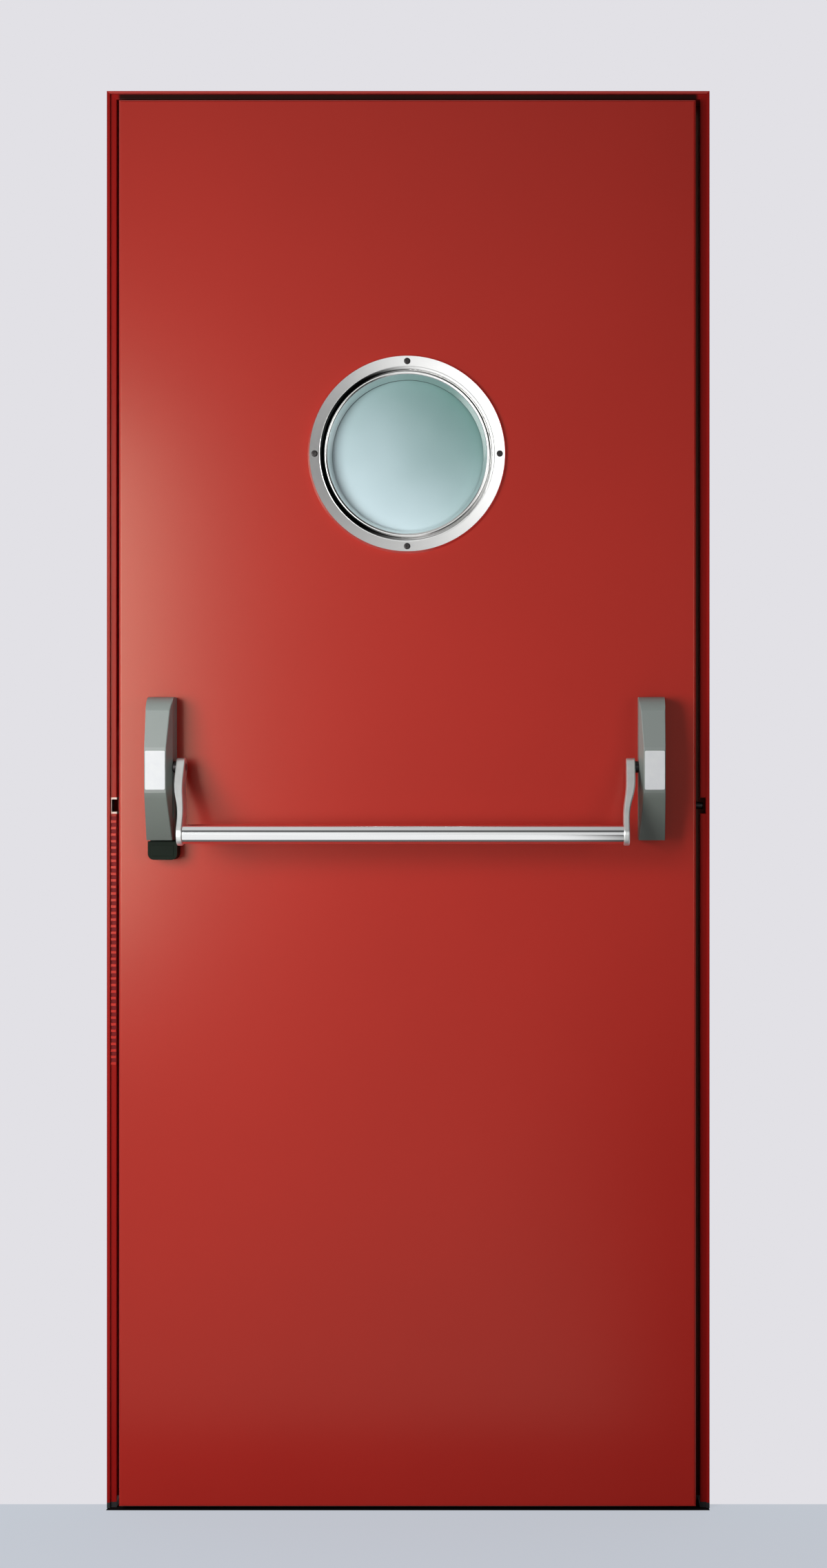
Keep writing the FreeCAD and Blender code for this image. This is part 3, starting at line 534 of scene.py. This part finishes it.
def pale_glass():
    material, tree, shader, place = blank_material("pale_glass")
    low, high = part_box("glass_pane")
    middle = (low + high) / 2
    across = (0.5 / (high.x - low.x)) * GLASS_SLANT
    offset = add(tree, "ShaderNodeVectorMath", {0: place, 1: middle}, operation="SUBTRACT").outputs[0]
    slope = add(tree, "ShaderNodeVectorMath", {0: offset, 1: across}, operation="DOT_PRODUCT")
    cloud = noise(tree, place, scale=7.0, detail=2.0)
    drift = ranged(tree, cloud, low=0.46, high=0.54)
    amount = add(tree, "ShaderNodeMath", {0: slope.outputs["Value"], 1: drift}, operation="ADD")
    # The slant from teal to near white is painted light.
    ramp = add(tree, "ShaderNodeValToRGB", {"Fac": amount.outputs["Value"]})
    ramp.color_ramp.elements[0].position = GLASS_SPAN[0]
    ramp.color_ramp.elements[0].color = GLASS_LIT_WHITE
    ramp.color_ramp.elements[1].position = GLASS_SPAN[1]
    ramp.color_ramp.elements[1].color = GLASS_SHADED_TEAL
    tree.links.new(ramp.outputs["Color"], shader.inputs["Base Color"])
    shader.inputs["IOR"].default_value = GLASS_IOR
    vary_roughness(tree, shader, noise(tree, place, scale=25.0), low=0.16, high=0.22)
    return material


dress(["glass_pane"], pale_glass())


# Window rings: stainless rings turned on a lathe, with a dished flange, a rolled bead and
# a collar down to the glass. The tool leaves fine circles round the window's axis. The
# groove beside the bead is painted dark towards the lock edge, as painted shade.
GROOVE = (0.1216, 0.1294)
GROOVE_SHADE_FADE = 0.0008
GROOVE_SHADE_SPAN = (0.030, -0.070)
CIRCLE_SCALE = 2600.0
RING_STEEL = (0.84, 0.84, 0.83, 1)
GROOVE_SHADE = (0.012, 0.014, 0.014, 1)


def turned_steel():
    material, tree, shader, place = blank_material("turned_steel")
    low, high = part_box("push_side_ring")
    middle = (low + high) / 2
    offset = add(tree, "ShaderNodeVectorMath", {0: place, 1: middle}, operation="SUBTRACT").outputs[0]
    flat = stretched(tree, offset, (1, 0, 1))
    radius = add(tree, "ShaderNodeVectorMath", {0: flat}, operation="LENGTH").outputs["Value"]
    inputs = {"W": radius, "Scale": CIRCLE_SCALE, "Detail": 2.0}
    circles = add(tree, "ShaderNodeTexNoise", inputs, noise_dimensions="1D").outputs["Fac"]
    shader.inputs["Metallic"].default_value = 1.0
    # The dark tone in the groove on the lock side is painted shade.
    groove = product(
        tree,
        between(tree, radius, GROOVE[0] - GROOVE_SHADE_FADE, GROOVE[0]),
        between(tree, radius, GROOVE[1], GROOVE[1] - GROOVE_SHADE_FADE),
    )
    across = add(tree, "ShaderNodeSeparateXYZ", {0: offset}).outputs["X"]
    dark = product(tree, groove, between(tree, across, *GROOVE_SHADE_SPAN))
    tone = mixed(tree, dark, RING_STEEL, GROOVE_SHADE)
    tree.links.new(tone, shader.inputs["Base Color"])
    vary_roughness(tree, shader, circles, low=0.17, high=0.27)
    emboss(tree, shader, circles, depth=0.000012)
    return material


dress(["push_side_ring", "pull_side_ring"], turned_steel())


# Ring screws: four blackened socket screws a side on the middle of the flange.
# Their heads sit in the dished face and draw the ring down on the skin. The dog bolt in
# the hinge edge is blackened in the same bath.
RING_SCREWS = 4
SCREW_CIRCLE = 0.1365
FLANGE_DIP = 0.0009
BLACKENED = (0.020, 0.018, 0.018, 1)
BLACKENED_RUBBED = (0.060, 0.055, 0.055, 1)


def blackened_steel():
    material, tree, shader, place = blank_material("blackened_steel")
    shader.inputs["Metallic"].default_value = 0.85
    rub = noise(tree, place, scale=800.0, detail=3.0)
    blend_colours(tree, shader, rub, BLACKENED, BLACKENED_RUBBED)
    vary_roughness(tree, shader, rub, low=0.28, high=0.45)
    emboss(tree, shader, rub, depth=0.00002)
    return material


def circle_layout(tree, given):
    """Points round an upright circle about a middle."""
    inputs = {"Vertices": given["Count"], "Radius": given["Radius"]}
    flat = add(tree, "GeometryNodeMeshCircle", inputs).outputs["Mesh"]
    inputs = {"Geometry": flat, "Translation": given["Middle"], "Rotation": (math.pi / 2, 0, 0)}
    return add(tree, "GeometryNodeTransform", inputs).outputs["Geometry"]


blackened = blackened_steel()
dress(["dog_bolt"], blackened)
for side, outward in (("push_side", -1), ("pull_side", 1)):
    ring_low, ring_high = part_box(side + "_ring")
    face = ring_low.y if outward < 0 else ring_high.y
    middle = (ring_low + ring_high) / 2
    middle.y = face - outward * FLANGE_DIP
    sizes = {"Count": RING_SCREWS, "Radius": SCREW_CIRCLE, "Middle": middle}
    heads = repeated(side + "_ring_screws", socket_screw(outward), sizes, circle_layout, blackened)
    stand(side + "_ring_screws", heads, blackened, "leaf")


# Bearing bases: dark moulded blocks screwed to the leaf, which carry the axles.
# The lock side's base shows below its cover, where a shallow raised panel stiffens its end.
FOOT_DEPTH = 0.030
FOOT_HEIGHT = 0.027
PANEL_MARGIN = 0.0055
PANEL_RISE = 0.0006
MOULDING_DARK = (0.0016, 0.0050, 0.0018, 1)
MOULDING_PALE = (0.0028, 0.0075, 0.0030, 1)


def dark_moulding():
    material, tree, shader, place = blank_material("dark_moulding")
    grain = noise(tree, place, scale=750.0, detail=2.0)
    blend_colours(tree, shader, noise(tree, place, scale=45.0), MOULDING_DARK, MOULDING_PALE)
    shader.inputs["Specular IOR Level"].default_value = 0.1
    vary_roughness(tree, shader, grain, low=0.50, high=0.62)
    emboss(tree, shader, grain, depth=0.00007)
    return material


moulding = dark_moulding()
dress(["hinge_side_base", "lock_side_base"], moulding)
base_low, base_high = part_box("lock_side_base")
foot_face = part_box("push_skin")[0].y - FOOT_DEPTH
panel = bevelled_block(
    (base_low.x + PANEL_MARGIN, foot_face - PANEL_RISE, base_low.z + PANEL_MARGIN),
    (base_high.x - PANEL_MARGIN, foot_face, base_low.z + FOOT_HEIGHT - PANEL_MARGIN),
    PANEL_RISE / 2,
)
stand("lock_side_base_panel", panel, moulding, "leaf")


# Covers: bowed shells cast in light alloy and sprayed grey-green in a fine satin grain, with
# a bare white plate stuck on each. The grey is painted deeper below the plate, as painted
# shade on the lower half. They clip over the bases, and an arm's axle comes out of their side.
COVER_SHADED_GREYS = {
    0.00: (0.088, 0.101, 0.087, 1),
    0.29: (0.116, 0.133, 0.116, 1),
    0.36: (0.165, 0.185, 0.168, 1),
    0.66: (0.236, 0.262, 0.246, 1),
    1.00: (0.236, 0.266, 0.250, 1),
}
PLATE_WHITE = (0.67, 0.68, 0.68, 1)
PLATE_WHITE_DEEP = (0.64, 0.65, 0.66, 1)


def grey_lacquer():
    material, tree, shader, place = blank_material("grey_lacquer")
    low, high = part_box("hinge_side_cover")
    height = add(tree, "ShaderNodeSeparateXYZ", {0: place}).outputs["Z"]
    inputs = {"Value": height, "From Min": low.z, "From Max": high.z}
    rise = add(tree, "ShaderNodeMapRange", inputs).outputs["Result"]
    # The grey darkens towards the bottom as painted shade.
    ramp = add(tree, "ShaderNodeValToRGB", {"Fac": rise})
    stops = ramp.color_ramp.elements
    stops.remove(stops[1])
    for position, grey in COVER_SHADED_GREYS.items():
        stop = stops[0] if position == 0 else stops.new(position)
        stop.color = grey
    tree.links.new(ramp.outputs["Color"], shader.inputs["Base Color"])
    grain = noise(tree, place, scale=1100.0, detail=2.0)
    vary_roughness(tree, shader, grain, low=0.34, high=0.46)
    emboss(tree, shader, grain, depth=0.00005)
    return material


def white_plate():
    material, tree, shader, place = blank_material("white_plate")
    cast = noise(tree, place, scale=90.0, detail=2.0)
    blend_colours(tree, shader, cast, PLATE_WHITE_DEEP, PLATE_WHITE)
    vary_roughness(tree, shader, noise(tree, place, scale=500.0), low=0.45, high=0.55)
    shader.inputs["Specular IOR Level"].default_value = 0.25
    return material


dress(["hinge_side_cover", "lock_side_cover"], grey_lacquer())
dress(["hinge_side_plate", "lock_side_plate"], white_plate())


# Arms and axles: cranked castings in light alloy, tumbled to a silky finish,
# keyed to steel axles that turn in the bearing bases.
CASTING_DULL = (0.72, 0.74, 0.72, 1)
CASTING_BRIGHT = (0.80, 0.82, 0.80, 1)


def silky_casting():
    material, tree, shader, place = blank_material("silky_casting")
    shader.inputs["Metallic"].default_value = 0.75
    tumble = noise(tree, place, scale=420.0, detail=3.0)
    blend_colours(tree, shader, noise(tree, place, scale=60.0), CASTING_DULL, CASTING_BRIGHT)
    vary_roughness(tree, shader, tumble, low=0.30, high=0.40)
    emboss(tree, shader, tumble, depth=0.00004)
    return material


dress(["hinge_side_arm", "lock_side_arm"], silky_casting())
dress(["hinge_side_axle", "lock_side_axle"], blackened)


# Push bar: a drawn steel tube, polished bright, pressed into the arms' cups.
# Drawing leaves hair-fine lines along its length.
BAR_DULL = (0.84, 0.85, 0.86, 1)
BAR_BRIGHT = (0.92, 0.93, 0.93, 1)
DRAWN_HAIRS = (8.0, 2200.0, 2200.0)


def bright_bar():
    material, tree, shader, place = blank_material("bright_bar")
    shader.inputs["Metallic"].default_value = 1.0
    hairs = noise(tree, stretched(tree, place, DRAWN_HAIRS), scale=1.0, detail=2.0)
    blend_colours(tree, shader, hairs, BAR_DULL, BAR_BRIGHT)
    vary_roughness(tree, shader, hairs, low=0.06, high=0.12)
    emboss(tree, shader, hairs, depth=0.000004)
    return material


dress(["push_bar"], bright_bar())


# Stage: a plain grey floor in front of the door that turns into a pale backdrop
# behind it. A patch behind the leaf stays plain, so that the door keeps its shadow there,
# and the strip right under the door is painted dark as painted shade; the door has no sill.
WALL = (0.761, 0.752, 0.791, 1)
FLOOR_GREY = (0.60, 0.63, 0.69, 1)
FLOOR_GLOW = (0.585, 0.625, 0.690, 1)
FLOOR_LIFT = 0.80
UNDER_DOOR_SHADE = (0.012, 0.010, 0.010, 1)
UNDER_DOOR_SHADE_SPAN = (0.055, 0.045)
PATCH_SIDE_FADE = 0.001
PATCH_FRONT = (-0.030, -0.026)
PATCH_BACK = (0.65, 0.25)
BACKDROP_EDGE = (0.0, 0.004)
MIRROR_DEPTHS = (-0.60, -0.40)
MIRROR_DEPTH_LEVELS = (0.95, 0.13)
MIRROR_SIDES = (-0.22, 0.03)
MIRROR_SIDE_LEVELS = (1.0, 0.05)
FLOOR_HALF = 9.0
FLOOR_DROP = 0.0004


def seen_or_mirrored(tree):
    """Ray kinds, 1 on glossy and transmission rays, and 1 on those and on camera rays."""
    path = tree.nodes.new("ShaderNodeLightPath").outputs
    inputs = {0: path["Is Glossy Ray"], 1: path["Is Transmission Ray"]}
    shiny = add(tree, "ShaderNodeMath", inputs, operation="MAXIMUM")
    inputs = {0: path["Is Camera Ray"], 1: shiny.outputs[0]}
    both = add(tree, "ShaderNodeMath", inputs, operation="MAXIMUM")
    return path, shiny.outputs[0], both.outputs[0]


def floor_material():
    material, tree, shader, place = blank_material("stage_floor")
    tree.nodes.remove(shader)
    output = tree.nodes["Material Output"]
    axes = add(tree, "ShaderNodeSeparateXYZ", {0: place}).outputs
    path, shiny, seen = seen_or_mirrored(tree)
    glow = add(tree, "ShaderNodeEmission", {"Color": FLOOR_GLOW})
    pale = add(tree, "ShaderNodeEmission", {"Color": WALL})
    far = between(tree, axes["Y"], *MIRROR_DEPTHS, MIRROR_DEPTH_LEVELS)
    leftward = between(tree, axes["X"], *MIRROR_SIDES, MIRROR_SIDE_LEVELS)
    mirrored = add(tree, "ShaderNodeEmission", {"Strength": product(tree, far, leftward)})
    low, high = cad_box
    inside = product(
        tree,
        between(tree, axes["X"], low[0], low[0] + PATCH_SIDE_FADE),
        between(tree, axes["X"], high[0], high[0] - PATCH_SIDE_FADE),
        between(tree, axes["Y"], *PATCH_FRONT),
    )
    hidden = product(tree, inside, between(tree, axes["Y"], *PATCH_BACK))
    # The floor right under the door is painted dark as painted shade.
    painted_under_door = product(tree, inside, between(tree, axes["Y"], *UNDER_DOOR_SHADE_SPAN))
    plain = add(tree, "ShaderNodeBsdfDiffuse", {"Color": mixed(tree, painted_under_door, FLOOR_GREY, UNDER_DOOR_SHADE)})
    open_floor = add(tree, "ShaderNodeMath", {0: 1.0, 1: hidden}, operation="SUBTRACT").outputs[0]
    behind = product(tree, between(tree, axes["Y"], *BACKDROP_EDGE), open_floor, seen)
    lifted = product(tree, path["Is Camera Ray"], open_floor, FLOOR_LIFT)
    lit = add(tree, "ShaderNodeMixShader", {0: lifted, 1: plain.outputs[0], 2: glow.outputs[0]})
    front = add(tree, "ShaderNodeMixShader", {0: shiny, 1: lit.outputs[0], 2: mirrored.outputs[0]})
    whole = add(tree, "ShaderNodeMixShader", {0: behind, 1: front.outputs[0], 2: pale.outputs[0]})
    tree.links.new(whole.outputs[0], output.inputs["Surface"])
    return material


def floor_mesh():
    mesh = bpy.data.meshes.new("floor")
    corners = [(-1, -1), (1, -1), (1, 1), (-1, 1)]
    middle_x = (cad_box[0][0] + cad_box[1][0]) / 2
    points = [(middle_x + FLOOR_HALF * a, FLOOR_HALF * b, -FLOOR_DROP) for a, b in corners]
    mesh.from_pydata(points, [], [(0, 1, 2, 3)])
    mesh.materials.append(floor_material())
    return mesh


floor = bpy.data.objects.new("floor", floor_mesh())
bpy.context.scene.collection.objects.link(floor)


# Studio: a pale room for what the camera and the metal see. Plain light is dim in front,
# and brighter behind the door. A large soft lamp is at the left, a weak one at the right.
AMBIENT_LEVELS = {0.00: 0.11, 0.50: 0.11, 0.60: 0.62}
ROOM_LEVELS = {0.00: 1.0, 0.33: 1.0, 0.45: 0.14, 0.68: 0.12, 0.80: 0.65}
ROOM_SIDES = {0.00: 1.0, 0.44: 1.0, 0.51: 0.78, 0.54: 0.40, 0.60: 0.20, 0.70: 0.05}
LEFT_LAMP = {
    "place": (-1.75, -1.88, 1.31),
    "aim": (-0.71, 0, 1.05),
    "width": 1.2,
    "spread": 140,
    "power": 29.9,
}
RIGHT_LAMP = {
    "place": (1.15, -2.60, 1.25),
    "aim": (-0.85, 0, 1.07),
    "width": 1.1,
    "spread": 70,
    "power": 2.1,
}


def level_ramp(tree, value, levels):
    """Grey ramp with a level at each position."""
    ramp = add(tree, "ShaderNodeValToRGB", {"Fac": value})
    stops = ramp.color_ramp.elements
    stops.remove(stops[1])
    for position, level in levels.items():
        stop = stops[0] if position == 0 else stops.new(position)
        stop.color = (level, level, level, 1)
    return ramp.outputs["Color"]


def room():
    world = bpy.data.worlds.new("studio")
    world.use_nodes = True
    tree = world.node_tree
    output = tree.nodes["World Output"]
    ways = tree.nodes.new("ShaderNodeTexCoord").outputs["Generated"]
    axes = add(tree, "ShaderNodeSeparateXYZ", {0: ways}).outputs
    path, shiny = seen_or_mirrored(tree)[:2]
    height = level_ramp(tree, axes["Z"], ROOM_LEVELS)
    inputs = {"Value": axes["X"], "From Min": -1.0, "From Max": 1.0}
    aside = add(tree, "ShaderNodeMapRange", inputs).outputs["Result"]
    sides = level_ramp(tree, aside, ROOM_SIDES)
    inputs = {"Value": axes["Y"], "From Min": -1.0, "From Max": 1.0}
    backward = add(tree, "ShaderNodeMapRange", inputs).outputs["Result"]
    mirrored = add(tree, "ShaderNodeBackground", {"Color": height, "Strength": sides})
    ambient = add(tree, "ShaderNodeBackground", {"Color": level_ramp(tree, backward, AMBIENT_LEVELS)})
    wall = add(tree, "ShaderNodeBackground", {"Color": WALL})
    light = add(tree, "ShaderNodeMixShader", {0: shiny, 1: ambient.outputs[0], 2: mirrored.outputs[0]})
    inputs = {0: path["Is Camera Ray"], 1: light.outputs[0], 2: wall.outputs[0]}
    whole = add(tree, "ShaderNodeMixShader", inputs)
    tree.links.new(whole.outputs[0], output.inputs["Surface"])
    return world


def soft_lamp(name, place, aim, width, spread, power):
    """Square lamp that faces a point, with the spread of its light in degrees."""
    lamp = bpy.data.lights.new(name, "AREA")
    lamp.size = width
    lamp.energy = power
    lamp.spread = math.radians(spread)
    holder = bpy.data.objects.new(name, lamp)
    holder.location = place
    holder.rotation_euler = (Vector(aim) - Vector(place)).to_track_quat("-Z", "Y").to_euler()
    holder.visible_camera = False
    bpy.context.scene.collection.objects.link(holder)


bpy.context.scene.world = room()
soft_lamp("left_lamp", **LEFT_LAMP)
soft_lamp("right_lamp", **RIGHT_LAMP)


# Camera: level with the bar gear and a little right of the door's middle line, square to
# the leaf, with the picture shifted sideways to frame the door.
PICTURE_HEIGHT = 2.325
PICTURE_MIDDLE = (-0.4388, 1.073)
PICTURE_PLANE = -0.016
CAMERA_DISTANCE = 3.5
CAMERA_ASIDE = 0.20
SENSOR_WIDTH = 36.0

camera_data = bpy.data.cameras.new("camera")
camera = bpy.data.objects.new("camera", camera_data)
camera_x = (cad_box[0][0] + cad_box[1][0]) / 2 + CAMERA_ASIDE
camera.location = (camera_x, PICTURE_PLANE - CAMERA_DISTANCE, PICTURE_MIDDLE[1])
camera.rotation_euler = (math.pi / 2, 0, 0)
camera_data.sensor_width = SENSOR_WIDTH
camera_data.lens = SENSOR_WIDTH * CAMERA_DISTANCE / PICTURE_HEIGHT
camera_data.shift_x = (PICTURE_MIDDLE[0] - camera_x) / PICTURE_HEIGHT
bpy.context.scene.collection.objects.link(camera)
bpy.context.scene.camera = camera
bpy.context.scene.view_settings.view_transform = "Standard"
